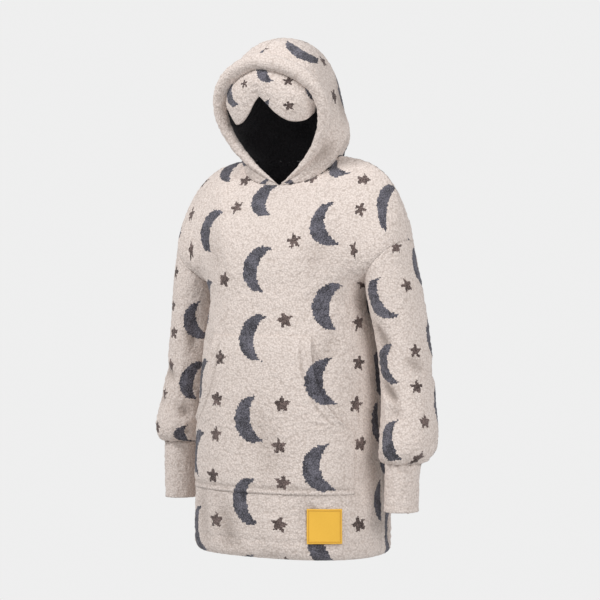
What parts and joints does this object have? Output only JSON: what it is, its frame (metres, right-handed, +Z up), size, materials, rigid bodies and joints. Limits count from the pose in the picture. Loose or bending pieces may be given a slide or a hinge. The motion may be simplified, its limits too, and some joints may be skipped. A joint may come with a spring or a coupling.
{
  "type": "hoodie",
  "caption": "Oversized hooded blanket top in thick fleecy knit, with a rolled hood edge, an eye-mask flap under the brow, a front pocket, plain cuffs and a sewn label",
  "frame": {"origin": "where the wearer's neck and shoulders carry it: the middle of the neck opening, level with the top of the shoulder seams", "axes": "+Z up, the front faces -Y, the wearer's left is +X"},
  "size_m": [0.7115, 0.3441, 1.1439],
  "materials": {
    "knit": "fleecy feather-yarn knit with a pattern of moons and stars",
    "plain_knit": "fleecy feather-yarn knit, plain",
    "label": "woven label with a stitched border"
  },
  "bodies": {
    "root": {"front_panel": "knit", "back_panel": "knit", "sleeve_left": "knit", "sleeve_right": "knit", "cuff_left": "plain_knit", "cuff_right": "plain_knit", "hood_left": "knit", "hood_right": "knit", "hood_roll": "plain_knit", "eye_mask": "knit", "pocket": "knit", "label": "label"}
  },
  "joints": []
}
